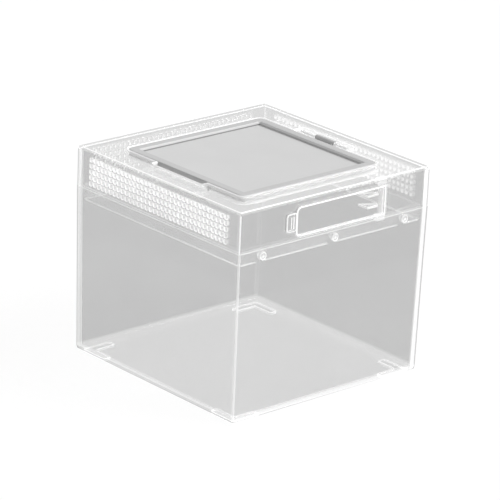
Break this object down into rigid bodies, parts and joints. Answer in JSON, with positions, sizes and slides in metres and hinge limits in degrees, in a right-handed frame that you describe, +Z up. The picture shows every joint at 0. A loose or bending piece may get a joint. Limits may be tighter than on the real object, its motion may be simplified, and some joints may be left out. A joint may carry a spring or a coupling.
{
  "type": "reptile terrarium",
  "caption": "Clear box terrarium with a lift-off vented upper section, a hinged grey lid in its top and a small hinged feeding door in its front wall.",
  "frame": {"origin": "middle of the plane that the four feet stand on, at the bottom centre of the bounding box", "axes": "+Z up, -Y out of the front wall with the feeding door, +X towards the hinge of the lid"},
  "size_m": [0.2, 0.2, 0.177],
  "materials": {
    "clear_walls": "clear, polished, faintly grey through its thickness",
    "clear_fittings": "clear, moulded, bright edges",
    "grey_frame": "even light grey, satin",
    "grey_panel": "paler grey, fine matt grain",
    "hinge_pin": "smooth grey rod"
  },
  "bodies": {
    "tank": {"tank_tub": "clear_walls", "foot_front_left": "clear_fittings", "foot_front_right": "clear_fittings", "foot_rear_left": "clear_fittings", "foot_rear_right": "clear_fittings", "locating_pins": "clear_fittings"},
    "upper_section": {"locating_skirt": "clear_walls", "upper_front_wall": "clear_walls", "upper_rear_vent_wall": "clear_walls", "upper_left_vent_wall": "clear_walls", "upper_right_vent_wall": "clear_walls", "top_plate": "clear_walls", "lid_well": "clear_walls", "finger_pocket": "clear_walls", "lid_hinge_lug_front": "clear_fittings", "lid_hinge_lug_rear": "clear_fittings", "lid_hinge_pin": "hinge_pin", "door_hinge_pin": "clear_fittings", "door_socket_lower": "clear_fittings", "door_socket_upper": "clear_fittings"},
    "lid": {"lid_frame": "grey_frame", "lid_panel": "grey_panel", "panel_clamp_ring": "grey_frame", "lid_hinge_barrel": "grey_frame"},
    "feeding_door": {"door_panel": "clear_walls", "door_finger_tab": "clear_fittings", "door_hinge_barrel": "clear_fittings", "door_arm_lower": "clear_fittings", "door_arm_upper": "clear_fittings"}
  },
  "joints": [
    {"name": "upper_section_lift", "type": "slide", "parent": "tank", "child": "upper_section", "axis": [0, 0, 1], "range_m": [0, 0.04]},
    {"name": "lid_hinge", "type": "hinge", "parent": "upper_section", "child": "lid", "pos_m": [0.0785, 0, 0.1746], "axis": [0, 1, 0], "range_deg": [0, 105]},
    {"name": "feeding_door_hinge", "type": "hinge", "parent": "upper_section", "child": "feeding_door", "pos_m": [0.0513, -0.095, 0.1574], "axis": [0, 0, 1], "range_deg": [0, 90]}
  ]
}
